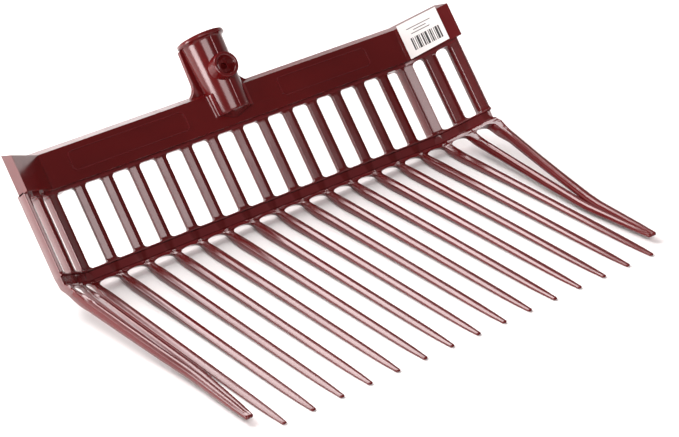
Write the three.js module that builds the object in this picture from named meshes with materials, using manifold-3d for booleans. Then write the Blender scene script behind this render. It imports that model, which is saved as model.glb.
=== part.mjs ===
// The head of a moulded plastic bedding fork: a basket of nineteen tines and nineteen
// upright bars, a folded header above them, and a tapered socket for a round handle.
//
// Millimetres, +Z up. The tines point along -Y and lie on the ground, the back panel leans
// back towards +Y, and X runs across the head. The origin is on the ground, in the middle
// of the head's plan box.
//
// The real head is one moulding. It is built here as its named sections, a seam apart, so
// that every slot between the bars and the tines stays open.
import * as THREE from "three";
import { mergeVertices } from "three/addons/utils/BufferGeometryUtils.js";
import Module from "manifold-3d";

const wasm = await Module();
wasm.setup();

// ---------------------------------------------------------------- driving dimensions

const PITCH = 24; // from one upright bar to the next
const CENTRE_BARS = 15; // bars in the flat middle of the back panel
const WING_PITCH = 0.95 * PITCH; // from bar to bar, measured along a folded wing
const WING_FOLD = THREE.MathUtils.degToRad(44.7); // how far each wing is folded forward
const BACK_LEAN = THREE.MathUtils.degToRad(38.8); // back panel's lean from upright
const SEAM = 0.3; // clearance between neighbouring sections

const FOLD_X = 7 * PITCH; // the fold lines stand at plus and minus this
const HEAD_HALF_WIDTH = 8.46 * PITCH; // the outer walls face straight out to the sides

// The back panel is drawn in its own frame: x across, n from its front to its back, and s
// up along the bars. Its zero is the inside corner of the bend, where the bars meet the
// tines.
const HEADER_BOTTOM = 3.03 * PITCH;
const HEADER_TOP = 4.2 * PITCH; // at its front edge
const HEADER_TOP_SLOPE = 0.3; // rise of the header's top towards its back
const HEADER_FRONT = -0.21 * PITCH; // the header stands this far in front of the bars
const HEADER_DEPTH = 0.5 * PITCH;
const HEADER_SKIN = 3.2; // front wall, flanges and ribs of the hollow-backed header
const HEADER_POCKETS = 5; // hollows in the header's back on each side of the socket
const SHELF_HALF_WIDTH = 0.71 * PITCH; // of the header's part under the socket

const BAR_WIDTH = 0.33 * PITCH;
const BAR_WALL = 0.17 * PITCH; // depth of a bar's flat side
const BAR_RIDGE = 0.075 * PITCH; // how far the middle of a bar's front stands proud
const WING_BAR_WIDTH = 0.2 * PITCH;
const WING_BAR_DEPTH = 0.42 * PITCH; // at its middle: its back faces straight back
const EDGE_BAR_DEPTH = 0.5 * PITCH;

const RIB_TOP = 0.36 * PITCH; // bottom of the slots between the bars
const RIB_FRONT = 0.17 * PITCH; // how far the cross rib reaches forward of the bend
const BEND_RADIUS = 0.4 * PITCH; // outside of the bend
const GROUND = 7.1; // depth of the ground below the inside corner of the bend

const TINE_LENGTH = 10 * PITCH;
const TINE_ROOT_DROP = 0.4; // fall of a tine's top from the bend to its root
const TINE_DROP = 0.236 * PITCH; // and from the bend to its tip
const TINE_WIDTH = 0.3 * PITCH;
const TINE_NECK_WIDTH = 0.23 * PITCH;
const TINE_TIP_WIDTH = 0.13 * PITCH;
const TINE_DEPTHS = [
  // share of the tine's length, depth there
  [0.035, 5.2],
  [0.075, 6.3],
  [0.2, 5.2],
  [0.4, 3.4],
  [0.7, 2.5],
  [1, 1.4],
];

// The two tines of a wing lean together and meet before their tips. Their tops fall in a
// line from the raised end of the folded rib to the meeting point.
const PAIR_MEET_X = 7.6 * PITCH;
const PAIR_MEET_Y = -7.36 * PITCH;
const PAIR_TIP_X = 7.69 * PITCH;
const PAIR_TIP_Y = -9.35 * PITCH;
const PAIR_MEET_TOP = 0.06 * PITCH;
const PAIR_TIP_TOP = -0.04 * PITCH;
const PAIR_MEET_DEPTH = 4.4;
const PAIR_TIP_DEPTH = 2.2;
const WING_TINE_DEPTH = 8;
const EDGE_TINE_DEPTH = 12;

const SOCKET_AXIS_N = -0.1 * PITCH;
const SOCKET_BOTTOM = 3.4 * PITCH;
const SOCKET_TOP = 6.1 * PITCH;
const SOCKET_RADIUS_BOTTOM = 0.655 * PITCH;
const SOCKET_RADIUS_TOP = 0.755 * PITCH;
const SOCKET_WALL = 3;
const SOCKET_FLOOR = 4;
const LIP_HEIGHT = 0.2 * PITCH;
const LIP_PROUD = 0.07 * PITCH;

const GUSSET_REACH = 0.34 * PITCH; // webs in the corners of the socket and the header

const BOSS_S = 4.87 * PITCH;
const BOSS_FACE_N = -0.99 * PITCH;
const BOSS_RADIUS = 0.44 * PITCH;
const BOSS_MOUTH_RADIUS = 0.33 * PITCH; // the cup for the screw's head, at its face
const BOSS_FLOOR_RADIUS = 0.24 * PITCH; // and at its floor
const BOSS_CUP_DEPTH = 0.1 * PITCH;
const SCREW_RADIUS = 2.8;

const LABEL_WIDTH = 1.49 * PITCH;
const LABEL_START = 0.13 * PITCH; // from the fold to the label's near edge
const LABEL_HEIGHT = 1.2 * PITCH;
const LABEL_THICKNESS = 0.3;
const LABEL_GAP = 0.1;

// ---------------------------------------------------------------- materials

const plastic = () =>
  new THREE.MeshStandardMaterial({ color: 0x5e1318, roughness: 0.28, metalness: 0 });

const paper = () =>
  new THREE.MeshStandardMaterial({ color: 0xf2f1ee, roughness: 0.6, metalness: 0 });

// ---------------------------------------------------------------- shapes and booleans

// A closed geometry as a solid that can be joined to and cut by others.
function solid(geometry, matrix = new THREE.Matrix4()) {
  const plain = geometry.clone().applyMatrix4(matrix);
  plain.deleteAttribute("normal");
  plain.deleteAttribute("uv");
  const merged = mergeVertices(plain, 1e-4);
  return new wasm.Manifold(
    new wasm.Mesh({
      numProp: 3,
      vertProperties: new Float32Array(merged.attributes.position.array),
      triVerts: new Uint32Array(merged.index.array),
    }),
  );
}

function geometryOf(made) {
  const mesh = made.getMesh();
  const geometry = new THREE.BufferGeometry();
  geometry.setAttribute("position", new THREE.BufferAttribute(mesh.vertProperties, 3));
  geometry.setIndex(new THREE.BufferAttribute(mesh.triVerts, 1));
  geometry.computeVertexNormals();
  return geometry;
}

function named(name, geometry, material = plastic()) {
  const mesh = new THREE.Mesh(geometry, material);
  mesh.name = name;
  return mesh;
}

function prism(points, length) {
  const shape = new THREE.Shape(points.map(([x, y]) => new THREE.Vector2(x, y)));
  return new THREE.ExtrudeGeometry(shape, { depth: length, bevelEnabled: false });
}

// A shape drawn in (y, z) and run along X, from x0 to x1.
function runAcross(points, x0, x1) {
  const geometry = prism(points, x1 - x0);
  const turn = new THREE.Matrix4().makeBasis(
    new THREE.Vector3(0, 1, 0),
    new THREE.Vector3(0, 0, 1),
    new THREE.Vector3(1, 0, 0),
  );
  return geometry.applyMatrix4(turn).translate(x0, 0, 0);
}

// A plan drawn in (x, n) and run up the back panel, from s0 to s1.
function runUp(points, s0, s1) {
  return prism(points, s1 - s0).translate(0, 0, s0);
}

// An outline drawn for the right side, on the side asked for: 1 is right, -1 is left.
const onSide = (points, side) => points.map(([x, y]) => [side * x, y]);

// Points of a circular arc, from one angle to another, in degrees.
function arc(cx, cy, radius, from, to, steps) {
  return Array.from({ length: steps + 1 }, (_, i) => {
    const angle = THREE.MathUtils.degToRad(from + ((to - from) * i) / steps);
    return [cx + radius * Math.cos(angle), cy + radius * Math.sin(angle)];
  });
}

// ---------------------------------------------------------------- the two frames

const fork = new THREE.Group();
const back = new THREE.Group();
back.rotation.x = -BACK_LEAN;
fork.add(back);

// A point of the back panel's (n, s) plane as (y, z).
function backPoint(n, s) {
  return [
    s * Math.sin(BACK_LEAN) + n * Math.cos(BACK_LEAN),
    s * Math.cos(BACK_LEAN) - n * Math.sin(BACK_LEAN),
  ];
}

// How far across and how far forward a place on a wing is, from its distance to the fold.
const wingX = (distance) => FOLD_X + distance * Math.cos(WING_FOLD);
const wingN = (distance) => -distance * Math.sin(WING_FOLD);

// Slants a geometry drawn straight across so that, from the fold outwards, it follows the
// wing: side is 1 on the right and -1 on the left.
function followWing(geometry, side) {
  const slope = Math.tan(WING_FOLD);
  const slant = new THREE.Matrix4().set(
    1, 0, 0, 0,
    -side * slope * Math.cos(BACK_LEAN), 1, 0, slope * FOLD_X * Math.cos(BACK_LEAN),
    side * slope * Math.sin(BACK_LEAN), 0, 1, -slope * FOLD_X * Math.sin(BACK_LEAN),
    0, 0, 0, 1,
  );
  return geometry.applyMatrix4(slant);
}

// ---------------------------------------------------------------- header

// Plan of one wing of the header: a strip that starts on the mitre of the fold, a little
// past it, and ends at a wall that faces straight out to the side.
function wingPlan(near, far, start, endX) {
  const mitre = Math.tan(WING_FOLD / 2);
  const place = (along, depth) => [
    wingX(along) + depth * Math.sin(WING_FOLD),
    HEADER_FRONT + wingN(along) + depth * Math.cos(WING_FOLD),
  ];
  const end = (depth) =>
    (endX - FOLD_X - depth * Math.sin(WING_FOLD)) / Math.cos(WING_FOLD);
  return [
    place(start - near * mitre, near),
    place(end(near), near),
    place(end(far), far),
    place(start - far * mitre, far),
  ];
}

// Raises the header's top face towards its back.
function slopeTop(geometry) {
  const position = geometry.attributes.position;
  for (let i = 0; i < position.count; i++) {
    if (position.getZ(i) < HEADER_TOP - 0.01) continue;
    const onWing = Math.max(0, Math.abs(position.getX(i)) - FOLD_X);
    const front = HEADER_FRONT - onWing * Math.tan(WING_FOLD);
    const depth = Math.max(0, position.getY(i) - front);
    position.setZ(i, HEADER_TOP + HEADER_TOP_SLOPE * depth);
  }
  return geometry;
}

// One side of the straight header: a front wall with flanges and ribs behind it, fitted
// round the socket at its inner end.
function headerPanel(side) {
  const mitre = Math.tan(WING_FOLD / 2);
  const edge = FOLD_X - SEAM;
  const rear = HEADER_FRONT + HEADER_DEPTH;
  const inner = SHELF_HALF_WIDTH / 2;
  const outline = [
    [inner, HEADER_FRONT],
    [edge, HEADER_FRONT],
    [edge + HEADER_DEPTH * mitre, rear],
    [inner, rear],
  ];
  let made = solid(runUp(onSide(outline, side), HEADER_BOTTOM, HEADER_TOP));
  const first = SOCKET_RADIUS_TOP + HEADER_SKIN;
  const span = (edge - first) / HEADER_POCKETS;
  for (let i = 0; i < HEADER_POCKETS; i++) {
    const x0 = first + i * span;
    const x1 = x0 + span - HEADER_SKIN;
    const front = HEADER_FRONT + HEADER_SKIN;
    const pocket = [[x0, front], [x1, front], [x1, rear + 1], [x0, rear + 1]];
    const [s0, s1] = [HEADER_BOTTOM + HEADER_SKIN, HEADER_TOP - HEADER_SKIN];
    made = made.subtract(solid(runUp(onSide(pocket, side), s0, s1)));
  }
  const shelfRoom = runUp(shelfPlan(SEAM), HEADER_BOTTOM - 1, SOCKET_BOTTOM);
  const tube = roundSocket(SOCKET_BOTTOM - SEAM, HEADER_TOP + 1);
  const name = side > 0 ? "header_right" : "header_left";
  const fitted = made.subtract(solid(shelfRoom)).subtract(solid(tube));
  return named(name, slopeTop(geometryOf(fitted)));
}

// Plan of the part of the header that lies under the socket, with a clearance round it.
function shelfPlan(clearance) {
  const half = SHELF_HALF_WIDTH + clearance;
  const rear = HEADER_FRONT + HEADER_DEPTH;
  return [
    [-half, HEADER_FRONT - clearance],
    [half, HEADER_FRONT - clearance],
    [half, rear + clearance],
    [-half, rear + clearance],
  ];
}

function socketShelf() {
  return named("socket_shelf", runUp(shelfPlan(0), HEADER_BOTTOM, SOCKET_BOTTOM - SEAM));
}

// A wing of the header, hollow behind, closed at its outer end.
function headerWing(side) {
  const outline = wingPlan(0, HEADER_DEPTH, SEAM, HEAD_HALF_WIDTH);
  const innerX = HEAD_HALF_WIDTH - HEADER_SKIN;
  const pocket = wingPlan(HEADER_SKIN, HEADER_DEPTH + 1, HEADER_SKIN, innerX);
  const body = solid(runUp(onSide(outline, side), HEADER_BOTTOM, HEADER_TOP));
  const hollow = solid(
    runUp(onSide(pocket, side), HEADER_BOTTOM + HEADER_SKIN, HEADER_TOP - HEADER_SKIN),
  );
  const name = side > 0 ? "header_wing_right" : "header_wing_left";
  return named(name, slopeTop(geometryOf(body.subtract(hollow))));
}

// Printed label stuck to the front of the right wing.
function label() {
  const sheet = new THREE.BoxGeometry(LABEL_WIDTH, LABEL_THICKNESS, LABEL_HEIGHT);
  const mesh = named("label", sheet, paper());
  const along = LABEL_START + LABEL_WIDTH / 2;
  const proud = LABEL_THICKNESS / 2 + LABEL_GAP;
  mesh.position.set(
    wingX(along) - proud * Math.sin(WING_FOLD),
    HEADER_FRONT + wingN(along) - proud * Math.cos(WING_FOLD),
    (HEADER_BOTTOM + HEADER_TOP) / 2,
  );
  mesh.rotation.z = -WING_FOLD;
  return mesh;
}

// ---------------------------------------------------------------- socket

function socketRadius(s) {
  const share = (s - SOCKET_BOTTOM) / (SOCKET_TOP - SOCKET_BOTTOM);
  return THREE.MathUtils.lerp(SOCKET_RADIUS_BOTTOM, SOCKET_RADIUS_TOP, share);
}

// A profile of (radius, s) pairs turned about the socket's axis.
function lathe(profile, segments = 40) {
  const points = profile.map(([radius, s]) => new THREE.Vector2(radius, s));
  return new THREE.LatheGeometry(points, segments)
    .rotateX(Math.PI / 2)
    .translate(0, SOCKET_AXIS_N, 0);
}

// The room the socket's outside takes up, with a seam round it.
function roundSocket(s0, s1) {
  return lathe([
    [0, s0],
    [socketRadius(s0) + SEAM, s0],
    [socketRadius(s1) + SEAM, s1],
    [0, s1],
  ]);
}

// A round bar or hole along the screw's axis, from one n and radius to another.
function alongScrew(n0, radius0, n1, radius1 = radius0, segments = 32) {
  return new THREE.CylinderGeometry(radius1, radius0, n1 - n0, segments)
    .translate(0, (n0 + n1) / 2, BOSS_S);
}

// Tapered tube with a lip round its mouth and a closed lower end.
function handleSocket() {
  const lipRadius = socketRadius(SOCKET_TOP) + LIP_PROUD;
  const mouth = socketRadius(SOCKET_TOP) - SOCKET_WALL;
  const outside = lathe([
    [0, SOCKET_BOTTOM],
    [SOCKET_RADIUS_BOTTOM, SOCKET_BOTTOM],
    [socketRadius(SOCKET_TOP - LIP_HEIGHT), SOCKET_TOP - LIP_HEIGHT],
    [lipRadius, SOCKET_TOP - LIP_HEIGHT * 0.85],
    [lipRadius, SOCKET_TOP],
    [0, SOCKET_TOP],
  ]);
  const bore = lathe([
    [0, SOCKET_BOTTOM + SOCKET_FLOOR],
    [SOCKET_RADIUS_BOTTOM - SOCKET_WALL, SOCKET_BOTTOM + SOCKET_FLOOR],
    [mouth, SOCKET_TOP - 2],
    [mouth + 1, SOCKET_TOP + 1],
    [0, SOCKET_TOP + 1],
  ]);
  const screwHole = alongScrew(BOSS_FACE_N, SCREW_RADIUS, SOCKET_AXIS_N);
  const made = solid(outside).subtract(solid(bore)).subtract(solid(screwHole));
  return named("handle_socket", geometryOf(made));
}

// Cup on the front of the socket that takes the head of the handle's screw.
function screwBoss() {
  const floorN = BOSS_FACE_N + BOSS_CUP_DEPTH;
  const made = solid(alongScrew(BOSS_FACE_N, BOSS_RADIUS, SOCKET_AXIS_N))
    .subtract(solid(alongScrew(BOSS_FACE_N, BOSS_MOUTH_RADIUS, floorN, BOSS_FLOOR_RADIUS)))
    .subtract(solid(alongScrew(floorN - 1, SCREW_RADIUS, SOCKET_AXIS_N + 1)))
    .subtract(solid(roundSocket(BOSS_S - 2 * BOSS_RADIUS, BOSS_S + 2 * BOSS_RADIUS)));
  return named("screw_boss", geometryOf(made));
}

// Small web in the corner between the header's top edge and the socket.
function socketGusset(side) {
  const x0 = socketRadius(HEADER_TOP + GUSSET_REACH);
  const thickness = HEADER_SKIN;
  const bottom = HEADER_TOP + HEADER_TOP_SLOPE * (thickness + 2 * SEAM) + SEAM;
  const curve = arc(x0 + GUSSET_REACH, bottom + GUSSET_REACH, GUSSET_REACH, 180, 262, 8);
  const outline = [[SOCKET_RADIUS_BOTTOM, bottom + GUSSET_REACH], ...curve];
  outline.push([x0 + GUSSET_REACH, bottom], [SOCKET_RADIUS_BOTTOM, bottom]);
  const web = prism(onSide(outline, side), thickness)
    .rotateX(Math.PI / 2)
    .translate(0, HEADER_FRONT + thickness + SEAM, 0);
  const tube = roundSocket(HEADER_TOP - 1, HEADER_TOP + 2 * GUSSET_REACH);
  const name = side > 0 ? "socket_gusset_right" : "socket_gusset_left";
  return named(name, geometryOf(solid(web).subtract(solid(tube))));
}

// ---------------------------------------------------------------- bars of the back panel

// Section of a bar in the flat middle: flat sides and a low ridge down its front.
function barPlan(x) {
  const half = BAR_WIDTH / 2;
  const flat = 0.15 * half;
  return [
    [x - half, BAR_RIDGE],
    [x - flat, 0],
    [x + flat, 0],
    [x + half, BAR_RIDGE],
    [x + half, BAR_RIDGE + BAR_WALL],
    [x - half, BAR_RIDGE + BAR_WALL],
  ];
}

// Section of a bar on a wing: its front lies along the wing, its back and sides do not.
function wingBarPlan(distance, depth, side) {
  const half = WING_BAR_WIDTH / 2;
  const slope = Math.tan(WING_FOLD) * half;
  const [x, n] = [wingX(distance), wingN(distance)];
  const points = [
    [x - half, n + slope],
    [x + half, n - slope],
    [x + half, n + depth],
    [x - half, n + depth],
  ];
  return onSide(points, side);
}

// Every bar from left to right, each with its plan.
function barPlans() {
  const last = (CENTRE_BARS - 1) / 2;
  const centre = Array.from({ length: CENTRE_BARS }, (_, i) => barPlan((i - last) * PITCH));
  const wing = (side) => [
    wingBarPlan(WING_PITCH, WING_BAR_DEPTH, side),
    wingBarPlan(2 * WING_PITCH, EDGE_BAR_DEPTH, side),
  ];
  return [...wing(-1).reverse(), ...centre, ...wing(1)];
}

const two = (number) => String(number).padStart(2, "0");

function backBars() {
  return barPlans().map((plan, i) => {
    const bar = runUp(plan, RIB_TOP + SEAM, HEADER_BOTTOM - SEAM);
    return named("back_bar_" + two(i + 1), bar);
  });
}

// ---------------------------------------------------------------- cross rib

// Section of the rib that ties the bars and the tines together round the bend.
function ribSection() {
  const backN = BAR_RIDGE + BAR_WALL;
  const turn = Math.tan((Math.PI / 2 - BACK_LEAN) / 2);
  const cornerS = (backN * Math.sin(BACK_LEAN) - GROUND) / Math.cos(BACK_LEAN);
  const cornerY = backPoint(backN, cornerS)[0];
  const centreY = cornerY - BEND_RADIUS * turn;
  const lean = THREE.MathUtils.radToDeg(BACK_LEAN);
  return [
    backPoint(0, RIB_TOP),
    [0, 0],
    [-RIB_FRONT, -TINE_ROOT_DROP],
    [-RIB_FRONT, -GROUND],
    ...arc(centreY, BEND_RADIUS - GROUND, BEND_RADIUS, -90, -lean, 5),
    backPoint(backN, RIB_TOP),
  ];
}

// The flat rib ends level with the outer sides of the last flat bars.
const RIB_END = FOLD_X + BAR_WIDTH / 2;

function crossRib() {
  return named("cross_rib", runAcross(ribSection(), -RIB_END, RIB_END));
}

function wingRib(side) {
  const inner = RIB_END + SEAM;
  const outer = HEAD_HALF_WIDTH;
  const [x0, x1] = side > 0 ? [inner, outer] : [-outer, -inner];
  const name = side > 0 ? "cross_rib_right" : "cross_rib_left";
  return named(name, followWing(runAcross(ribSection(), x0, x1), side));
}

// ---------------------------------------------------------------- tines

// A bar whose side view in (y, z) and plan in (x, y) are given.
function crossed(side, plan) {
  const reach = 10 * PITCH;
  const across = solid(runAcross(side, -reach, reach));
  const upright = solid(prism(plan, 4 * PITCH).translate(0, 0, -2 * PITCH));
  return geometryOf(across.intersect(upright));
}

// Side view of a tine of the flat middle: a belly just past the bend, then a long taper.
function tineSide() {
  const fall = (TINE_DROP - TINE_ROOT_DROP) / TINE_LENGTH;
  const top = (y) => -TINE_ROOT_DROP + fall * y;
  const root = -RIB_FRONT - SEAM;
  const under = TINE_DEPTHS.map(([share, depth]) => {
    const y = -share * TINE_LENGTH;
    return [y, top(y) - depth];
  });
  return [[root, top(root)], [root, under[0][1]], ...under, [-TINE_LENGTH, top(-TINE_LENGTH)]];
}

// Plan of a tine of the flat middle, about its own centre line.
function tinePlan(x) {
  const root = -RIB_FRONT - SEAM;
  const full = root - 0.5 * PITCH;
  const taper = -0.86 * TINE_LENGTH;
  const tip = TINE_TIP_WIDTH / 2;
  const outline = [
    [TINE_NECK_WIDTH / 2, root],
    [-TINE_NECK_WIDTH / 2, root],
    [-TINE_WIDTH / 2, full],
    [-TINE_WIDTH / 2, taper],
    ...arc(0, tip - TINE_LENGTH, tip, 180, 360, 8),
    [TINE_WIDTH / 2, taper],
    [TINE_WIDTH / 2, full],
  ];
  return outline.map(([across, y]) => [x + across, y]);
}

// Where a wing tine's root stands in plan, a seam in front of the folded rib.
function wingRoot(x) {
  const forward = Math.tan(WING_FOLD) * Math.cos(BACK_LEAN) * (x - FOLD_X);
  return [x, -RIB_FRONT - SEAM - forward];
}

// Side view of a wing tine that starts at a distance along the wing.
function wingTineSide(distance, depth) {
  const x = wingX(distance);
  const y = wingRoot(x)[1];
  const z = Math.tan(WING_FOLD) * Math.sin(BACK_LEAN) * (x - FOLD_X) - TINE_ROOT_DROP;
  const slope = (z - PAIR_MEET_TOP) / (y - PAIR_MEET_Y);
  const behind = y + WING_BAR_WIDTH;
  const top = z + slope * (behind - y);
  return [
    [behind, top],
    [behind, top - depth],
    [PAIR_MEET_Y, PAIR_MEET_TOP - PAIR_MEET_DEPTH],
    [PAIR_TIP_Y, PAIR_TIP_TOP - PAIR_TIP_DEPTH],
    [PAIR_TIP_Y, PAIR_TIP_TOP],
    [PAIR_MEET_Y, PAIR_MEET_TOP],
  ];
}

// Plans of the two tines of the right wing, the inner one first.
function wingTinePlans() {
  const half = WING_BAR_WIDTH / 2;
  const gap = SEAM / 2;
  const tip = TINE_TIP_WIDTH / 2;
  const [inner, outer] = [wingX(WING_PITCH), wingX(2 * WING_PITCH)];
  return [
    [
      wingRoot(inner - half),
      wingRoot(inner + half),
      [PAIR_MEET_X - gap, PAIR_MEET_Y],
      [PAIR_TIP_X - gap, PAIR_TIP_Y],
      [PAIR_TIP_X - tip, PAIR_TIP_Y],
      [PAIR_MEET_X - TINE_WIDTH, PAIR_MEET_Y],
    ],
    [
      wingRoot(outer - half),
      wingRoot(outer + half),
      [PAIR_MEET_X + TINE_WIDTH, PAIR_MEET_Y],
      [PAIR_TIP_X + tip, PAIR_TIP_Y],
      [PAIR_TIP_X + gap, PAIR_TIP_Y],
      [PAIR_MEET_X + gap, PAIR_MEET_Y],
    ],
  ];
}

// The tines from left to right.
function tines() {
  const last = (CENTRE_BARS - 1) / 2;
  const centre = Array.from({ length: CENTRE_BARS }, (_, i) =>
    crossed(tineSide(), tinePlan((i - last) * PITCH)),
  );
  const wing = (side) => {
    const [inner, outer] = wingTinePlans();
    return [
      crossed(wingTineSide(WING_PITCH, WING_TINE_DEPTH), onSide(inner, side)),
      crossed(wingTineSide(2 * WING_PITCH, EDGE_TINE_DEPTH), onSide(outer, side)),
    ];
  };
  const all = [...wing(-1).reverse(), ...centre, ...wing(1)];
  return all.map((geometry, i) => named("tine_" + two(i + 1), geometry));
}

// ---------------------------------------------------------------- the whole head

back.add(headerPanel(-1), headerPanel(1), headerWing(-1), headerWing(1), label());
back.add(socketShelf(), handleSocket(), screwBoss(), socketGusset(-1), socketGusset(1));
back.add(...backBars());
fork.add(crossRib(), wingRib(-1), wingRib(1), ...tines());

// The socket's mouth is the rearmost and the tines' tips are the foremost part of the head.
fork.updateMatrixWorld(true);
const box = new THREE.Box3().setFromObject(fork, true);
const middle = box.getCenter(new THREE.Vector3());
fork.position.set(-middle.x, -middle.y, -box.min.z);

const part = new THREE.Group();
part.add(fork);

export default part;
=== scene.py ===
"""The head of a moulded plastic bedding fork, on a pale studio floor.

Metres, +Z up. The tines point along -Y and lie on the floor, the barred back leans towards
+Y, and X runs across the head. The tine pitch, the head's width and the place of the bend are
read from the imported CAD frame, and most other sizes are in pitches. The moulding is drawn on a
sheet that runs down the back, round the bend and out along the tines: t is the distance along
that sheet from the bend (up the back is positive, along the tines is negative), and h is the
height in front of it.
"""

import math

import bmesh
import bpy
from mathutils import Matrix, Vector


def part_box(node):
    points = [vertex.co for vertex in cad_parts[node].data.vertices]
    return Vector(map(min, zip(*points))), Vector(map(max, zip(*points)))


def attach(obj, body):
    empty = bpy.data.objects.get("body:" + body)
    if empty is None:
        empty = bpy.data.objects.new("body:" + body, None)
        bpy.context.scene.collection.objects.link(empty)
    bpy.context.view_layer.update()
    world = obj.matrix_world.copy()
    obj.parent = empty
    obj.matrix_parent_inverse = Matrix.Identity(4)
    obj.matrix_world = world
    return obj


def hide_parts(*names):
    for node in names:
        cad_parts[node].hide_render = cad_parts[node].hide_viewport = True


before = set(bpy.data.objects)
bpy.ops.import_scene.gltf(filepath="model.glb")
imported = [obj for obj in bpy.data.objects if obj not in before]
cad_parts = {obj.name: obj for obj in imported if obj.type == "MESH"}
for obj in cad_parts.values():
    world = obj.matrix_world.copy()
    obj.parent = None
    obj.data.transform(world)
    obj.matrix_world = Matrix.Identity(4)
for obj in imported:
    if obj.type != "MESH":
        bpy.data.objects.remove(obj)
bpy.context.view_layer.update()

# ---------------------------------------------------------------- driving dimensions


def middle_x(node):
    """X of the middle of a CAD node."""
    low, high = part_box(node)
    return (low.x + high.x) / 2


PITCH = middle_x("tine_11") - middle_x("tine_10")
LEAN = math.radians(38.8)  # the back's lean from upright
FOLD = math.radians(44.7)  # how far each wing is folded forward
FOLD_X = 7 * PITCH
WING_STEP = 0.95 * PITCH * math.cos(FOLD)  # across X, from bar to bar on a wing
EDGE_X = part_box("header_wing_right")[1].x  # the outer walls
RIB_FRONT = 0.17 * PITCH  # how far the rib reaches in front of the bend's inside corner
BEND_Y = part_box("cross_rib")[0].y + RIB_FRONT
BEND_Z = 0.0071  # height of the bend's inside corner above the floor

UP = Vector((0, math.sin(LEAN), math.cos(LEAN)))  # up the back, s
REAR = Vector((0, math.cos(LEAN), -math.sin(LEAN)))  # through the back, n
BEND = Vector((0, BEND_Y, BEND_Z))

BAR_HALF = 0.182 * PITCH
WING_BAR_HALF = 0.14 * PITCH
EDGE_RADIUS = 0.035 * PITCH
SLOT_BOTTOM = 0.37 * PITCH
SLOT_TOP = 2.93 * PITCH
SLOT_CORNER = 0.13 * PITCH
GAP_END = -0.14 * PITCH  # where the gaps between the tines begin
GAP_CORNER = 0.22 * PITCH
KNOB = 0.075 * PITCH  # radius of the rounded knob at each tine's tip
TINE_END = -10 * PITCH
PAIR_END = -9.12 * PITCH  # tips of the two tines of a wing
PAIR_MEET = -6.3 * PITCH  # where those two tines come together
WING_ROOT = -0.3 * PITCH  # where they begin to lean together and to lose their lift
TIP_LIFT = 0.42  # share of the wing's forward lift that is left at the tips

HEADER_BOTTOM = 3.03 * PITCH
HEADER_TOP = 4.2 * PITCH  # at its front edge
HEADER_TOP_SLOPE = 0.3  # rise of the header's top towards its back
HEADER_FRONT = -0.21 * PITCH
HEADER_DEPTH = 0.5 * PITCH
HEADER_SKIN = 0.0032
POCKETS = 5  # on each side, between the socket and the fold
CUTTER_REACH = 0.002  # how far a cutter runs out of what it cuts

SOCKET_N = -0.1 * PITCH
SOCKET_BOTTOM = 3.4 * PITCH
SOCKET_TOP = 6.1 * PITCH
SOCKET_RADII = (0.62 * PITCH, 0.712 * PITCH)  # outside, at the bottom and at the top
TUBE_WALL = 0.0027
BORE_FLOOR = SOCKET_BOTTOM + 0.004
SOCKET_FOOT = SOCKET_BOTTOM - 0.17 * PITCH  # the blunt cone under the socket
LIP_BOTTOM = SOCKET_TOP - 0.2 * PITCH
LIP_PROUD = 0.1 * PITCH
BOSS_S = 4.83 * PITCH
BOSS_N = -0.99 * PITCH  # the cup's rim
BOSS_RADIUS = 0.435 * PITCH
SCREW_HOLE_RADIUS = 0.0028
AXIS_RADIUS = 0.00001  # a profile's points on the axis stand this far off it

# ---------------------------------------------------------------- small helpers


def back_point(x, n, s):
    """A point of the back panel: x across, n from front to back, s up."""
    return BEND + Vector((x, 0, 0)) + n * REAR + s * UP


def smooth_step(value):
    """Eases from 0 to 1 as value goes from 0 to 1."""
    value = min(1.0, max(0.0, value))
    return value * value * (3 - 2 * value)


def along(table, value):
    """Straight-line reading of a table of (place, amount), sorted by falling place."""
    if value >= table[0][0]:
        return table[0][1]
    for (a, low), (b, high) in zip(table, table[1:]):
        if value >= b:
            return low + (high - low) * (value - a) / (b - a)
    return table[-1][1]


def add_object(name, bm, material, sharp, nodes=()):
    """Turns a bmesh into a piece of the head that rides on the CAD body.

    Edges that turn by more than sharp degrees aren't shaded smooth.
    """
    bmesh.ops.recalc_face_normals(bm, faces=bm.faces)
    mesh = bpy.data.meshes.new(name)
    bm.to_mesh(mesh)
    bm.free()
    mesh.materials.append(material)
    mesh.shade_smooth()
    mesh.set_sharp_from_angle(angle=math.radians(sharp))
    piece = bpy.data.objects.new(name, mesh)
    bpy.context.scene.collection.objects.link(piece)
    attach(piece, "root")
    if nodes:
        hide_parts(*nodes)
    return piece


def skin(bm, rings, closed=False):
    """Joins rings of equal length into a tube, with end caps unless it closes on itself."""
    rows = [[bm.verts.new(point) for point in ring] for ring in rings]
    pairs = list(zip(rows, rows[1:]))
    if closed:
        pairs.append((rows[-1], rows[0]))
    for low, high in pairs:
        for i in range(len(low)):
            j = (i + 1) % len(low)
            bm.faces.new((low[i], low[j], high[j], high[i]))
    if not closed:
        bm.faces.new(rows[0])
        bm.faces.new(rows[-1])


def prism(bm, plan, s0, s1):
    """A plan of (x, n) points run up the back from s0 to s1."""
    skin(bm, [[back_point(x, n, s) for x, n in plan] for s in (s0, s1)])


def bevelled(piece, width):
    """Rounds a piece's corners by width."""
    bevel = piece.modifiers.new("bevel", "BEVEL")
    bevel.width = width
    bevel.segments = 3
    bevel.limit_method = "ANGLE"
    bevel.angle_limit = math.radians(30)


def as_cutter(bm):
    """Turns a bmesh into a bare object for cut."""
    bmesh.ops.recalc_face_normals(bm, faces=bm.faces)
    mesh = bpy.data.meshes.new("cutter")
    bm.to_mesh(mesh)
    bm.free()
    cutter = bpy.data.objects.new("cutter", mesh)
    bpy.context.scene.collection.objects.link(cutter)
    return cutter


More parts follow.
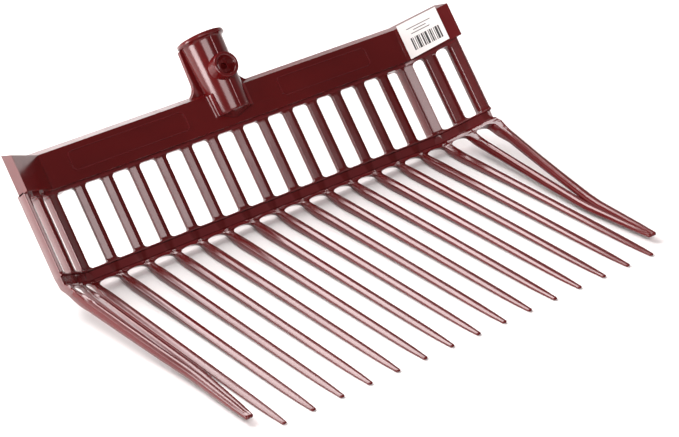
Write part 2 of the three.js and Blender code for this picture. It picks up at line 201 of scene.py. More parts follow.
def cut(piece, cutter):
    """Cuts a piece with another object, which is then removed."""
    modifier = piece.modifiers.new("cut", "BOOLEAN")
    modifier.operation = "DIFFERENCE"
    modifier.solver = "EXACT"
    modifier.object = cutter
    bpy.context.view_layer.update()
    graph = bpy.context.evaluated_depsgraph_get()
    mesh = bpy.data.meshes.new_from_object(piece.evaluated_get(graph))
    piece.modifiers.clear()
    piece.data = mesh
    bpy.data.objects.remove(cutter)


def circle(count):
    """The angles of count points spread evenly round a circle."""
    return [2 * math.pi * k / count for k in range(count)]


# ---------------------------------------------------------------- materials

DEEP_RED = (0.082, 0.003, 0.0033)
LIGHT_RED = (0.102, 0.004, 0.0043)
# Painted highlight: a lighter red laid on convex edges in place of the light they catch.
EDGE_HIGHLIGHT_RED = (0.2, 0.03, 0.035)
EDGE_HIGHLIGHT_SHARE = 0.35  # most of the painted highlight colour that an edge takes
PLASTIC_ROUGHNESS = (0.13, 0.22)


def plastic_material():
    """Glossy dark red moulded plastic with faint flow marks, and a painted highlight: convex
    edges take a lighter red.
    """
    material = bpy.data.materials.new("red_plastic")
    material.use_nodes = True
    tree = material.node_tree
    shader = tree.nodes["Principled BSDF"]
    coordinates = tree.nodes.new("ShaderNodeTexCoord")

    def noise(scale, detail, stretch=(1, 1, 1)):
        mapping = tree.nodes.new("ShaderNodeMapping")
        mapping.inputs["Scale"].default_value = stretch
        texture = tree.nodes.new("ShaderNodeTexNoise")
        texture.inputs["Scale"].default_value = scale
        texture.inputs["Detail"].default_value = detail
        tree.links.new(coordinates.outputs["Object"], mapping.inputs["Vector"])
        tree.links.new(mapping.outputs["Vector"], texture.inputs["Vector"])
        return texture.outputs["Fac"]

    def ramp(source, stops):
        node = tree.nodes.new("ShaderNodeValToRGB")
        for element, (position, color) in zip(node.color_ramp.elements, stops):
            element.position = position
            element.color = (*color, 1)
        tree.links.new(source, node.inputs["Fac"])
        return node.outputs["Color"]

    cloud = ramp(noise(14, 3), [(0.3, DEEP_RED), (0.7, LIGHT_RED)])
    pointed = tree.nodes.new("ShaderNodeNewGeometry").outputs["Pointiness"]
    # Painted highlight: the pointiest, convex edges are mixed towards the lighter red.
    edge_highlight = ramp(pointed, [(0.52, (0, 0, 0)), (0.62, (EDGE_HIGHLIGHT_SHARE,) * 3)])
    mix = tree.nodes.new("ShaderNodeMix")
    mix.data_type = "RGBA"
    mix.inputs["B"].default_value = (*EDGE_HIGHLIGHT_RED, 1)
    tree.links.new(edge_highlight, mix.inputs["Factor"])
    tree.links.new(cloud, mix.inputs["A"])
    tree.links.new(mix.outputs["Result"], shader.inputs["Base Color"])

    smooth, dull = PLASTIC_ROUGHNESS
    rough = ramp(noise(55, 4, (1, 0.25, 1)), [(0.3, (smooth,) * 3), (0.75, (dull,) * 3)])
    tree.links.new(rough, shader.inputs["Roughness"])
    grain = tree.nodes.new("ShaderNodeBump")
    grain.inputs["Strength"].default_value = 0.12
    grain.inputs["Distance"].default_value = 0.0004
    tree.links.new(noise(90, 5), grain.inputs["Height"])
    tree.links.new(grain.outputs["Normal"], shader.inputs["Normal"])
    shader.inputs["IOR"].default_value = 1.5
    shader.inputs["Specular IOR Level"].default_value = 0.5
    return material


def plain_material(name, color, roughness, mottle=0.03, scale=60):
    """A dull material with a faint grain, whose colour drifts a little."""
    material = bpy.data.materials.new(name)
    material.use_nodes = True
    tree = material.node_tree
    shader = tree.nodes["Principled BSDF"]
    coordinates = tree.nodes.new("ShaderNodeTexCoord")
    texture = tree.nodes.new("ShaderNodeTexNoise")
    texture.inputs["Scale"].default_value = scale
    tree.links.new(coordinates.outputs["Object"], texture.inputs["Vector"])
    node = tree.nodes.new("ShaderNodeValToRGB")
    for element, share in zip(node.color_ramp.elements, (1 - mottle, 1.0)):
        element.color = (*(channel * share for channel in color), 1)
    tree.links.new(texture.outputs["Fac"], node.inputs["Fac"])
    tree.links.new(node.outputs["Color"], shader.inputs["Base Color"])
    bump = tree.nodes.new("ShaderNodeBump")
    bump.inputs["Strength"].default_value = 0.05
    bump.inputs["Distance"].default_value = 0.0002
    tree.links.new(texture.outputs["Fac"], bump.inputs["Height"])
    tree.links.new(bump.outputs["Normal"], shader.inputs["Normal"])
    shader.inputs["Roughness"].default_value = roughness
    return material


plastic = plastic_material()
paper = plain_material("label_paper", (0.86, 0.855, 0.84), 0.45)
ink = plain_material("label_ink", (0.03, 0.03, 0.032), 0.5)

# ---------------------------------------------------------------- strips: bar, rib and tine
# One strip is a bar with its share of the rib and the tine below it, from the header to the
# tine's tip. Neighbouring strips meet in the middle of the slots, where the rib joins them.

TURN = math.pi / 2 - LEAN  # how far the sheet turns at the bend
BEND_RADIUS = 0.16 * PITCH  # inside the bend
DROP_RATE = 0.0236  # fall of the tines' tops
FADE = 0.9 * PITCH  # how far down the sheet the bend's turn and the wings' tilt fade out


def sheet(t):
    """The sheet's point in (y, z) from the bend's corner, before any height is added."""
    reach = BEND_RADIUS * math.tan(TURN / 2)
    if t >= reach:
        return t * math.sin(LEAN), t * math.cos(LEAN)
    if t <= -reach:
        return t, DROP_RATE * (t + reach)
    angle = TURN * (t + reach) / (2 * reach)
    return -reach + BEND_RADIUS * math.sin(angle), BEND_RADIUS * (1 - math.cos(angle))


def facing(t):
    """Angle of the moulding's draw at t: square to the back, upright along the tines."""
    return TURN * (1 - smooth_step((-0.2 * PITCH - t) / FADE))


def wing_share(t, end):
    """How much of the fold's forward lift is left at t: all on the back, less by the tip."""
    if t > WING_ROOT:
        return 1.0
    return 1.0 - (1.0 - TIP_LIFT) * (WING_ROOT - t) / (WING_ROOT - end)


def place(x, t, h, end, middle):
    """A point of the moulding. Beyond the folds it is carried forward with the wing.

    middle is the strip's own centre: the tines' tops are level across, the bars' are not.
    """
    y, z = sheet(t)
    turn = facing(t)
    tilt = 1 - smooth_step((-0.15 * PITCH - t) / FADE)
    carried = abs(middle + (x - middle) * tilt) - FOLD_X
    beyond = max(0.0, carried) * math.tan(FOLD) * wing_share(t, end)
    y += -h * math.sin(turn) - beyond * math.cos(LEAN)
    z += h * math.cos(turn) + beyond * math.sin(LEAN)
    return BEND + Vector((x, y, z))


def square_back(h, across, x, t):
    """Turns the back of a wing's bar to face straight back, as its front follows the wing."""
    if h > -0.2 * PITCH or abs(x) < FOLD_X + 0.1 * PITCH:
        return h
    share = smooth_step((t - 0.1 * PITCH) / (0.3 * PITCH))
    return h - share * math.copysign(across, across * x) * math.tan(FOLD)


def section(left, right, edge, shoulder, crest_half, crest, depth, radii):
    """Section of a strip as (x, h): rounded edges, and a crest between two shoulders.

    radii holds the corners' radius on the left and on the right.
    """
    a, b = radii
    return [
        (-left, -depth + a),
        (-left, edge - a),
        (-left + 0.3 * a, edge - 0.3 * a),
        (-left + a, edge),
        (-min(shoulder, left - 1.2 * a), edge),
        (-crest_half, crest),
        (crest_half, crest),
        (min(shoulder, right - 1.2 * b), edge),
        (right - b, edge),
        (right - 0.3 * b, edge - 0.3 * b),
        (right, edge - b),
        (right, -depth + b),
        (right - 0.3 * b, -depth + 0.3 * b),
        (right - b, -depth),
        (-left + a, -depth),
        (-left + 0.3 * a, -depth + 0.3 * a),
    ]


# Heights, depths and half widths down the sheet, in pitches: (t, amount).
EDGE_HEIGHT = [
    (3.1, -0.075), (0.44, -0.075), (0.37, -0.03), (0.335, -0.03), (0.305, -0.15),
    (0.06, -0.15), (0.0, -0.02), (-0.14, -0.02), (-0.3, -0.012), (-10, -0.01),
]
CREST_HEIGHT = [
    (3.1, 0), (0.4, 0.0), (0.335, -0.02), (0.305, -0.12), (0.06, -0.12), (0.0, 0.0),
    (-0.03, 0.045), (-0.13, 0.05), (-0.2, 0.008), (-10, 0.0),
]
CREST_HALF = [
    (3.1, 0.012), (0.5, 0.012), (0.1, 0.03), (0.0, 0.035), (-0.14, 0.035), (-0.3, 0.06),
    (-8.6, 0.06), (-9.8, 0.02),
]
SHOULDER = [(3.1, 1), (0.44, 1), (0.34, 0.16), (0.0, 0.1), (-0.14, 0.1), (-0.5, 0.12), (-0.8, 1)]
CENTRE_DEPTH = [
    (3.1, 0.245), (0.37, 0.245), (-0.12, 0.25), (-0.6, 0.268), (-1.1, 0.272), (-2, 0.225),
    (-3.5, 0.155), (-5, 0.12), (-7, 0.1), (-9, 0.08), (-9.7, 0.064), (-10, 0.056),
]
FOLD_DEPTH = [(3.1, 0.5), (0.45, 0.5), (0.3, 0.3)] + CENTRE_DEPTH[2:]
MID_DEPTH = [
    (3.1, 0.47), (0.45, 0.45), (0.3, 0.36), (-0.12, 0.3), (-0.9, 0.3), (-2.5, 0.25), (-6, 0.17),
    (-8.8, 0.12), (-9.2, 0.1),
]
OUTER_DEPTH = [
    (3.1, 0.56), (0.45, 0.56), (0.1, 0.6), (-0.2, 0.58), (-0.5, 0.48), (-0.8, 0.4),
    (-1.2, 0.33), (-4, 0.26), (-7.36, 0.19), (-8.8, 0.13), (-9.2, 0.1),
]
TINE_HALF = [
    (-0.5, 0.118), (-0.9, 0.148), (-4, 0.15), (-7.5, 0.145), (-8.7, 0.135), (-9.4, 0.112),
    (-9.8, 0.085), (-10, 0.078),
]
WING_TINE_HALF = [(-0.5, 0.1), (-1.2, 0.12), (-6.3, 0.135), (-8.4, 0.115), (-9.12, 0.085)]


def pitched(table):
    """A table in pitches, turned to metres."""
    return [(t * PITCH, amount * PITCH) for t, amount in table]


def half_width(t, bar, tine, cell):
    """Half the strip's width at t. It widens to the whole cell round each slot's end."""
    inside = min(t - SLOT_BOTTOM, SLOT_TOP - t)
    if inside >= SLOT_CORNER:
        return bar
    if inside > 0:
        lift = SLOT_CORNER - inside
        return bar + SLOT_CORNER - math.sqrt(max(0.0, SLOT_CORNER**2 - lift**2))
    if t > GAP_END:
        return cell
    share = min(1.0, (GAP_END - t) / GAP_CORNER)
    gap = (cell - tine) * math.sqrt(1 - (1 - share) ** 2)
    return cell - gap


def stations(end):
    """Places along a strip, close together where it changes shape."""
    steps = [k * math.pi / 12 for k in range(7)]
    hair = 1e-6  # one more ring stands this far outside the slot's ends and the gap's end
    places = [3.08 * PITCH, SLOT_TOP + hair, SLOT_BOTTOM - hair, GAP_END + hair]
    for a in steps:
        places.append(SLOT_TOP - SLOT_CORNER * (1 - math.cos(a)))
        places.append(SLOT_BOTTOM + SLOT_CORNER * (1 - math.cos(a)))
        places.append(GAP_END - GAP_CORNER * (1 - math.cos(a)))
        places.append(end + KNOB * (1 - math.sin(a)))
    rib = (0.335, 0.32, 0.305, 0.2, 0.06, 0.045, 0.02, 0, -0.03, -0.08, -0.13)
    below = (-0.2, -0.42, -0.5, -0.6, -0.72, -0.85, -1, -1.2, -1.5)
    places += [k * PITCH for k in (1.6, *rib, *below)]
    t = -2 * PITCH
    while t > end + PITCH:
        places.append(t)
        t -= 0.5 * PITCH
    for share in (1, 0.8, 0.62, 0.45, 0.3, 0.18):
        places.append(end + share * PITCH)
    return sorted(set(places), reverse=True)


def strip(number, centre, cells, bar, tines, depth, end, bounds=None):
    """One bar with its tine. centre and bounds give x against t.

    cells holds how far it reaches to the left and right where it joins its neighbours, bar is
    the bar's half width, and tines and depth are tables.
    """
    bm = bmesh.new()
    edge_table, crest_table = pitched(EDGE_HEIGHT), pitched(CREST_HEIGHT)
    crest_half, shoulder = pitched(CREST_HALF), pitched(SHOULDER)
    depth_table, tine_table = pitched(depth), pitched(tines)
    rings = []
    for t in stations(end):
        x = centre(t)
        tine = along(tine_table, t)
        left, right = (half_width(t, bar, tine, cell) for cell in cells)
        if bounds:
            low, high = bounds(t)
            left = min(left, x - low)
            right = min(right, high - x)
        deep = along(depth_table, t)
        radii = [
            min(EDGE_RADIUS, 0.45 * half, 0.3 * deep, 0.5 * abs(cell - half))
            for half, cell in zip((left, right), cells)
        ]
        ring = section(
            left,
            right,
            along(edge_table, t),
            along(shoulder, t),
            min(along(crest_half, t), 0.4 * left, 0.4 * right),
            along(crest_table, t),
            deep,
            radii,
        )
        beyond = max(0.0, end + KNOB - t) / KNOB
        round_off = max(0.04, math.sqrt(max(0.0, 1 - beyond**2)))
        middle = -deep / 2
        ring = [(across * round_off, middle + (h - middle) * round_off) for across, h in ring]
        ring = [(across, square_back(h, across, x, t)) for across, h in ring]
        rings.append([place(x + across, t, h, end, x) for across, h in ring])
    skin(bm, rings)
    nodes = [f"back_bar_{number:02d}", f"tine_{number:02d}"]
    add_object(f"strip_{number:02d}", bm, plastic, 32, nodes)


def centre_strips():
    """The fifteen strips of the middle. The first and the last stand on the folds."""
    outer = WING_STEP / 2
    for j in range(-7, 8):
        cells = (outer if j == -7 else PITCH / 2, outer if j == 7 else PITCH / 2)
        depth = FOLD_DEPTH if abs(j) == 7 else CENTRE_DEPTH
        strip(j + 10, lambda t, x=j * PITCH: x, cells, BAR_HALF, TINE_HALF, depth, TINE_END)


def wing_strips(side):
    """The two strips of a wing. Their tines lean together and meet before the tips."""
    meet_x, tip_x = 7.6 * PITCH, 7.69 * PITCH
    meet_half, tip_half = 0.13 * PITCH, 0.05 * PITCH
    mid_x, outer_x = FOLD_X + WING_STEP, FOLD_X + 2 * WING_STEP
    wall = EDGE_X - outer_x

    def line(t, start, at_meet, at_tip):
        """Straight down the back, then over to where the pair meets, then on to its tip."""
        if t > WING_ROOT:
            return start
        if t > PAIR_MEET:
            return start + (at_meet - start) * (WING_ROOT - t) / (WING_ROOT - PAIR_MEET)
        return at_meet + (at_tip - at_meet) * (PAIR_MEET - t) / (PAIR_MEET - PAIR_END)

    def mid(t):
        return side * line(t, mid_x, meet_x - meet_half, tip_x - tip_half)

    def outer(t):
        return side * line(t, outer_x, meet_x + meet_half, tip_x + tip_half)

    def bounds(t):
        """Keeps the outer strip from reaching past the head's side."""
        x = outer(t)
        reach = wall if t > WING_ROOT else wall + 0.03 * PITCH
        return (x - PITCH, x + reach) if side > 0 else (x - reach, x + PITCH)

    cells = (WING_STEP / 2, WING_STEP / 2)
    widths = (WING_BAR_HALF, WING_TINE_HALF)
    strip(10 + 8 * side, mid, cells, *widths, MID_DEPTH, PAIR_END)
    strip(10 + 9 * side, outer, cells, *widths, OUTER_DEPTH, PAIR_END, bounds)


# ---------------------------------------------------------------- header


def header_plan(depth_front, depth_rear, end_x):
    """Plan of the whole header, wings included, between two depths behind its front."""
    mitre = math.tan(FOLD / 2)

    def fold(depth):
        return FOLD_X + depth * mitre, HEADER_FRONT + depth

    def end(depth):
        x, n = fold(depth)
        return end_x, n - (end_x - x) * math.tan(FOLD)

    front = [end(depth_front), fold(depth_front)]
    rear = [fold(depth_rear), end(depth_rear)]
    right = front + rear
    left = [(-x, n) for x, n in right]
    return [left[0], left[1], right[1], right[0], right[3], right[2], left[2], left[3]]


def slope_top(bm):
    """Raises the header's top towards its back."""
    deepest = 1.5 * HEADER_DEPTH
    for vert in bm.verts:
        local = vert.co - BEND
        if abs(local.dot(UP) - HEADER_TOP) > 1e-6:
            continue
        on_wing = max(0.0, abs(local.x) - FOLD_X) * math.tan(FOLD)
        behind = local.dot(REAR) - HEADER_FRONT + on_wing
        vert.co += UP * HEADER_TOP_SLOPE * min(deepest, max(0.0, behind))


def header_pockets():
    """The rooms that are open at the header's back, as a cutter."""
    bm = bmesh.new()
    low, high = HEADER_BOTTOM + HEADER_SKIN, HEADER_TOP - HEADER_SKIN
    first = SOCKET_RADII[1] + HEADER_SKIN
    span = (FOLD_X - first) / POCKETS
    front, rear = HEADER_FRONT + HEADER_SKIN, HEADER_FRONT + HEADER_DEPTH + CUTTER_REACH
    whole = header_plan(HEADER_SKIN, HEADER_DEPTH + CUTTER_REACH, EDGE_X - HEADER_SKIN)
    right_wing = whole[2:6]
    for side in (-1, 1):
        for i in range(POCKETS):
            x0 = first + i * span
            x1 = x0 + span - HEADER_SKIN
            plan = [(x0, front), (x1, front), (x1, rear), (x0, rear)]
            prism(bm, [(side * x, n) for x, n in plan], low, high)
        prism(bm, [(side * x, n) for x, n in right_wing], low, high)
    return as_cutter(bm)


def header():
    """The box across the top with its folded ends, open at the back."""
    bm = bmesh.new()
    prism(bm, header_plan(0, HEADER_DEPTH, EDGE_X), HEADER_BOTTOM, HEADER_TOP)
    slope_top(bm)
    nodes = ["header_left", "header_right", "header_wing_left", "header_wing_right"]
    piece = add_object("header", bm, plastic, 30, nodes + ["socket_shelf"])
    cut(piece, header_pockets())
    cut(piece, socket_bore())
    bevelled(piece, 0.0007)


# ---------------------------------------------------------------- socket


def socket_point(radius, angle, s):
    """A point at radius from the socket's axis, s up the back."""
    return back_point(radius * math.sin(angle), SOCKET_N + radius * math.cos(angle), s)


def screw_rings(profile, count):
    """A profile of (radius, n) turned about the screw's axis, as rings of count points."""
    rings = []
    for radius, n in profile:
        ring = []
        for a in circle(count):
            ring.append(back_point(radius * math.cos(a), n, BOSS_S + radius * math.sin(a)))
        rings.append(ring)
    return rings


def tube_radius(s):
    """The socket's outside radius, s up the back."""
    low, high = SOCKET_RADII
    return low + (high - low) * (s - SOCKET_BOTTOM) / (SOCKET_TOP - SOCKET_BOTTOM)


def socket_bore():
    """The room inside the socket, as a cutter."""
    bm = bmesh.new()
    rings = []
    for s in (BORE_FLOOR, SOCKET_TOP):
        rings.append([socket_point(tube_radius(s) - TUBE_WALL, a, s) for a in circle(64)])
    skin(bm, rings)
    return as_cutter(bm)


def screw_hole():
    """The screw's hole through the socket's front, as a cutter."""
    bm = bmesh.new()
    skin(bm, screw_rings([(SCREW_HOLE_RADIUS, BOSS_N), (SCREW_HOLE_RADIUS, SOCKET_N)], 64))
    return as_cutter(bm)


def handle_socket():
    """The tapered tube for the handle, closed below, with a lip round its mouth."""
    bottom = SOCKET_RADII[0]
    lip = tube_radius(LIP_BOTTOM)
    mouth = tube_radius(SOCKET_TOP) - TUBE_WALL
    proud = tube_radius(SOCKET_TOP) + LIP_PROUD
    profile = [
        (AXIS_RADIUS, SOCKET_FOOT),
        (0.3 * bottom, SOCKET_FOOT),
        (bottom - 0.0024, SOCKET_BOTTOM),
        (bottom - 0.0008, SOCKET_BOTTOM),
        (bottom - 0.0002, SOCKET_BOTTOM + 0.0003),
        (bottom, SOCKET_BOTTOM + 0.0009),
        (tube_radius(SOCKET_BOTTOM + 0.002), SOCKET_BOTTOM + 0.002),
        (tube_radius(BOSS_S), BOSS_S),
        (tube_radius(LIP_BOTTOM - 0.001), LIP_BOTTOM - 0.001),
        (lip, LIP_BOTTOM),
        (lip + 0.0005, LIP_BOTTOM + 0.0008),
        (proud - 0.0006, LIP_BOTTOM + 0.0014),
        (proud, LIP_BOTTOM + 0.0021),
        (proud, SOCKET_TOP - 0.001),
        (proud - 0.0003, SOCKET_TOP - 0.0003),
        (proud - 0.001, SOCKET_TOP),
        (mouth + 0.0012, SOCKET_TOP),
        (mouth + 0.0004, SOCKET_TOP - 0.0003),
        (mouth, SOCKET_TOP - 0.0012),
        (bottom - TUBE_WALL, BORE_FLOOR + 0.001),
        (bottom - TUBE_WALL - 0.001, BORE_FLOOR),
        (AXIS_RADIUS, BORE_FLOOR),
    ]
    bm = bmesh.new()
    rings = [[socket_point(radius, a, s) for radius, s in profile] for a in circle(96)]
    skin(bm, rings, closed=True)
    piece = add_object("handle_socket_tube", bm, plastic, 40, ["handle_socket"])
    cut(piece, screw_hole())


def screw_boss():
    """Cup on the socket's front with a countersunk hole for the handle's screw."""
    root = SOCKET_N - tube_radius(BOSS_S) + 0.0012
    profile = [
        (0.0034, root),
        (0.0034, BOSS_N + 0.0074),
        (0.0046, BOSS_N + 0.0066),
        (0.0073, BOSS_N + 0.0012),
        (0.0078, BOSS_N + 0.0004),
        (0.0083, BOSS_N),
        (BOSS_RADIUS - 0.0009, BOSS_N),
        (BOSS_RADIUS - 0.0003, BOSS_N + 0.0003),
        (BOSS_RADIUS, BOSS_N + 0.001),
        (BOSS_RADIUS + 0.0002, root - 0.003),
        (BOSS_RADIUS + 0.0006, root - 0.001),
        (BOSS_RADIUS + 0.0012, root + 0.003),
        (BOSS_RADIUS - 0.001, root + 0.0045),
    ]
    bm = bmesh.new()
    skin(bm, screw_rings(profile, 72), closed=True)
    add_object("screw_cup", bm, plastic, 40, ["screw_boss"])


def parting_ridge():
    """The thin raised line that the mould's parting leaves down the socket's front."""
    bm = bmesh.new()
    half, proud, sunk = 0.00035, 0.0004, 0.0004
    clear = BOSS_RADIUS + 0.0005  # the line stops on both sides of the cup
    for ends in ((SOCKET_BOTTOM + 0.0008, BOSS_S - clear), (BOSS_S + clear, LIP_BOTTOM)):
        rings = []
        for s in ends:
            n = SOCKET_N - tube_radius(s)
            plan = [(-2 * half, n + sunk), (-half, n - proud)]
            plan += [(half, n - proud), (2 * half, n + sunk)]
            rings.append([back_point(x, m, s) for x, m in plan])
        skin(bm, rings)
    add_object("parting_ridge", bm, plastic, 30)


def gussets():
    """Curved webs behind the socket that carry the header up both its sides to the lip."""
    foot, top = HEADER_TOP - 0.002, LIP_BOTTOM + 0.0008
    foot_x, waist_x, top_x = 1.32 * PITCH, 0.84 * PITCH, 0.78 * PITCH
    rise = 0.5 * PITCH  # height of the curve between the foot and the waist
    rear = HEADER_FRONT + HEADER_DEPTH
    for side, word in ((-1, "left"), (1, "right")):
        outline = [(0.0, foot), (side * foot_x, foot)]
        for k in range(15):
            a = k / 14 * math.pi / 2
            x = foot_x - (foot_x - waist_x) * math.sin(a)
            outline.append((side * x, HEADER_TOP + rise * (1 - math.cos(a))))
        outline += [(side * top_x, top), (0.0, top)]
        bm = bmesh.new()
        rings = []
        for n in (rear - 0.0042, rear - 0.0004):
            lift = HEADER_TOP_SLOPE * (n - HEADER_FRONT)
            rings.append([back_point(x, n, s + (lift if s < top else 0)) for x, s in outline])
        skin(bm, rings)
        piece = add_object(f"socket_web_{word}", bm, plastic, 30, [f"socket_gusset_{word}"])
        cut(piece, socket_bore())
        bevelled(piece, 0.0005)


def socket_fillets():
    """Hollow curves between the socket's sides and the front of the header."""
    bm = bmesh.new()
    front = HEADER_FRONT + 0.0002
    out, forward = 0.17 * PITCH, 0.2 * PITCH  # how far each curve runs on the header and the tube
    steps = 6
    for side in (-1, 1):
        rings = []
        for s in (SOCKET_BOTTOM + 0.0006, HEADER_TOP - 0.0006):
            radius = tube_radius(s)
            meet = math.sqrt(radius**2 - (SOCKET_N - front) ** 2)
            ring = [(side * (meet - 0.003), front + 0.001)]
            for k in range(steps + 1):
                a = k / steps * math.pi / 2
                x = meet + out * (1 - math.sin(a))
                n = front - forward * (1 - math.cos(a))
                tube_x = math.sqrt(max(0.0, radius**2 - (n - SOCKET_N) ** 2))
                ring.append((side * max(x, tube_x - 0.0004), n))
            ring.append((side * (meet - 0.004), ring[-1][1]))
            rings.append([back_point(x, n, s) for x, n in ring])
        skin(bm, rings)
    add_object("socket_fillets", bm, plastic, 40)


def rounded_loop(x0, x1, s0, s1, radius):
    """Points round a rectangle with rounded corners."""
    corners = (
        (x1 - radius, s1 - radius, 0),
        (x0 + radius, s1 - radius, 90),
        (x0 + radius, s0 + radius, 180),
        (x1 - radius, s0 + radius, 270),
    )
    points = []
    for x, s, start in corners:
        for k in range(7):
            a = math.radians(start + 15 * k)
            points.append((x + radius * math.cos(a), s + radius * math.sin(a)))
    return points


def header_frames():
    """A thin raised frame on each side of the header's front, with rounded corners."""
    bm = bmesh.new()
    proud, width, corner = 0.0009, 0.0012, 0.12 * PITCH
    low, high = HEADER_FRONT + 0.0003, HEADER_FRONT - proud
    s0, s1 = 3.33 * PITCH, 4.02 * PITCH
    for x0, x1 in ((-6.1 * PITCH, -1.75 * PITCH), (1.9 * PITCH, 5.6 * PITCH)):
        inner = rounded_loop(x0 + width, x1 - width, s0 + width, s1 - width, corner)
        outer = rounded_loop(x0, x1, s0, s1, corner + width)
        rings = []
        for (xi, si), (xo, so) in zip(inner, outer):
            ring = []
            for share, n in ((0, low), (0.3, high), (0.7, high), (1, low)):
                ring.append(back_point(xi + share * (xo - xi), n, si + share * (so - si)))
            rings.append(ring)
        skin(bm, rings, closed=True)
    add_object("header_frames", bm, plastic, 30)


# ---------------------------------------------------------------- label


def wing_point(along_wing, proud, s):
    """A point on the right wing of the header, a little in front of its surface."""
    x = FOLD_X + along_wing * math.cos(FOLD) - proud * math.sin(FOLD)
    n = HEADER_FRONT - along_wing * math.sin(FOLD) - proud * math.cos(FOLD)
    return back_point(x, n, s)


def label():
    """A paper sticker on the header's right wing, with plain bars and lines and no lettering."""
    outline = [(0.13, 3.06), (1.62, 3.11), (1.62, 4.3), (0.13, 4.3)]
    outline = [(a * PITCH, s * PITCH - 0.0006) for a, s in outline]
    bm = bmesh.new()
    skin(bm, [[wing_point(a, proud, s) for a, s in outline] for proud in (0.0, 0.0003)])
    add_object("label_sheet", bm, paper, 30, ["label"])
    label_marks()


def label_marks():
    """The sticker's marks in ink. Bars of varied width stand below three lines."""
    bm = bmesh.new()

    def mark(a0, s0, a1, s1):
        """A rectangle in pitches, just proud of the paper."""
        corners = [(a0, s0), (a1, s0), (a1, s1), (a0, s1)]
        rings = []
        for proud in (0.00025, 0.00034):
            rings.append([wing_point(a * PITCH, proud, s * PITCH) for a, s in corners])
        skin(bm, rings)

    # Bars and the blanks between them by turns, in thinnest bars.
    widths = (2, 1, 1, 2, 1, 1, 3, 1, 1, 2, 2, 1, 1, 1, 3, 2, 1, 1, 2, 1, 1, 2, 1, 1, 3, 1, 2)
    thinnest = 0.026
    a = 0.4
    for i, width in enumerate(widths):
        if i % 2 == 0:
            mark(a, 3.24, a + thinnest * width, 3.68)
        a += thinnest * width
    for row, (first, last) in enumerate(((0.5, 1.2), (0.62, 1.1), (0.4, 1.3))):
        mark(first, 3.8 + 0.1 * row, last, 3.825 + 0.1 * row)
    add_object("label_marks", bm, ink, 30, ())


# ---------------------------------------------------------------- studio


def build_floor():
    """A wide white floor just under the head."""
    bm = bmesh.new()
    bmesh.ops.create_grid(bm, x_segments=8, y_segments=8, size=6)
    mesh = bpy.data.meshes.new("floor")
    bm.to_mesh(mesh)
    bm.free()
    mesh.materials.append(plain_material("floor_white", (0.82, 0.815, 0.81), 0.55, 0.01, 3))
    floor = bpy.data.objects.new("floor", mesh)
    floor.location.z = -0.0002
    bpy.context.scene.collection.objects.link(floor)


def soft_light(name, spot, target, size, power, color=(1, 1, 1)):
    """A rectangular softbox at spot that faces target."""
    data = bpy.data.lights.new(name, "AREA")
    data.shape = "RECTANGLE"
    data.size, data.size_y = size
    data.energy = power
    data.color = color
    light = bpy.data.objects.new(name, data)
    light.location = spot
    light.rotation_euler = (Vector(target) - Vector(spot)).to_track_quat("-Z", "Y").to_euler()
    bpy.context.scene.collection.objects.link(light)


def around(azimuth, elevation, distance):
    """A place round the head: azimuth 0 is in front of it (-Y), 90 to the right (+X)."""
    a, e = math.radians(azimuth), math.radians(elevation)
    flat = distance * math.cos(e)
    return (flat * math.sin(a), -flat * math.cos(a), distance * math.sin(e))


WORLD_DARK = 0.16  # in front
WORLD_BRIGHT = 0.3  # behind
WORLD_HORIZON = 0.55  # added low down, all the way round
BEHIND_AZIMUTH = -165  # the middle of the brighter side
BEHIND_FADE = (-0.55, 0.35)  # cosines of the angles from it between which the strength changes
HORIZON_TOP = 0.36  # sines of the heights between which the band fades out
HORIZON_FULL = 0.2


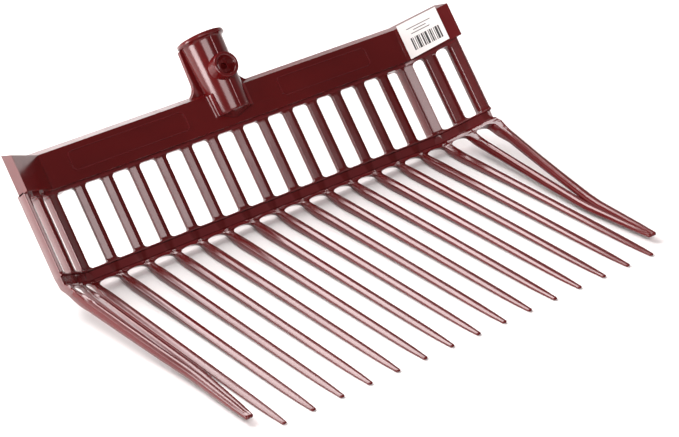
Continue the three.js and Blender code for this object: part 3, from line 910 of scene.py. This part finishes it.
def build_world():
    """A studio with a pale band at the horizon, brighter behind than in front."""
    world = bpy.data.worlds.new("studio")
    bpy.context.scene.world = world
    world.use_nodes = True
    tree = world.node_tree
    background = tree.nodes["Background"]
    direction = tree.nodes.new("ShaderNodeTexCoord")
    dot = tree.nodes.new("ShaderNodeVectorMath")
    dot.operation = "DOT_PRODUCT"
    dot.inputs[1].default_value = around(BEHIND_AZIMUTH, 0, 1)
    fall = tree.nodes.new("ShaderNodeMapRange")
    fall.interpolation_type = "SMOOTHSTEP"
    fall.inputs["From Min"].default_value = BEHIND_FADE[0]
    fall.inputs["From Max"].default_value = BEHIND_FADE[1]
    fall.inputs["To Min"].default_value = WORLD_DARK
    fall.inputs["To Max"].default_value = WORLD_BRIGHT
    tree.links.new(direction.outputs["Generated"], dot.inputs[0])
    tree.links.new(dot.outputs["Value"], fall.inputs["Value"])
    height = tree.nodes.new("ShaderNodeSeparateXYZ")
    tree.links.new(direction.outputs["Generated"], height.inputs["Vector"])
    horizon = tree.nodes.new("ShaderNodeMapRange")
    horizon.interpolation_type = "SMOOTHSTEP"
    horizon.inputs["From Min"].default_value = HORIZON_TOP
    horizon.inputs["From Max"].default_value = HORIZON_FULL
    horizon.inputs["To Max"].default_value = WORLD_HORIZON
    tree.links.new(height.outputs["Z"], horizon.inputs["Value"])
    total = tree.nodes.new("ShaderNodeMath")
    tree.links.new(fall.outputs["Result"], total.inputs[0])
    tree.links.new(horizon.outputs["Result"], total.inputs[1])
    tree.links.new(total.outputs["Value"], background.inputs["Strength"])
    background.inputs["Color"].default_value = (1, 0.985, 0.975, 1)


def build_lights():
    """A strong softbox behind to the left, and weaker ones in front, beside and behind."""
    head = (0, 0, 0.03)
    rose = (1, 0.88, 0.88)
    soft_light("key_box", around(-158, 39, 2.8), head, (2.0, 2.0), 124)
    soft_light("front_left_box", around(-24, 44, 2.6), head, (1.5, 1.0), 36, rose)
    soft_light("low_left_box", around(-100, 9, 2.0), (0, 0, 0.12), (0.9, 0.7), 30, rose)
    soft_light("back_box", around(150, 41, 2.8), head, (1.1, 0.7), 26, rose)


CAMERA_LENS = 113.43  # for a sensor 36 mm wide
CAMERA_PLACE = (-34.429, -50.678, 31.879)  # from the bend, in pitches
CAMERA_TURN = (62.104, 2.799, -37.554)  # about X, Y and Z, in degrees


def build_camera():
    """Three-quarter view from the front left, 28 degrees above the floor, by a long lens."""
    data = bpy.data.cameras.new("camera")
    data.sensor_width = 36
    data.lens = CAMERA_LENS
    data.clip_end = 50
    camera = bpy.data.objects.new("camera", data)
    camera.location = BEND + PITCH * Vector(CAMERA_PLACE)
    camera.rotation_euler = [math.radians(angle) for angle in CAMERA_TURN]
    bpy.context.scene.collection.objects.link(camera)
    bpy.context.scene.camera = camera


# ---------------------------------------------------------------- build

build_camera()
build_floor()
build_world()
build_lights()
bpy.context.scene.view_settings.view_transform = "Standard"
centre_strips()
wing_strips(-1)
wing_strips(1)
header()
handle_socket()
screw_boss()
parting_ridge()
gussets()
socket_fillets()
header_frames()
label()
for node in ("cross_rib", "cross_rib_left", "cross_rib_right"):
    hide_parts(node)
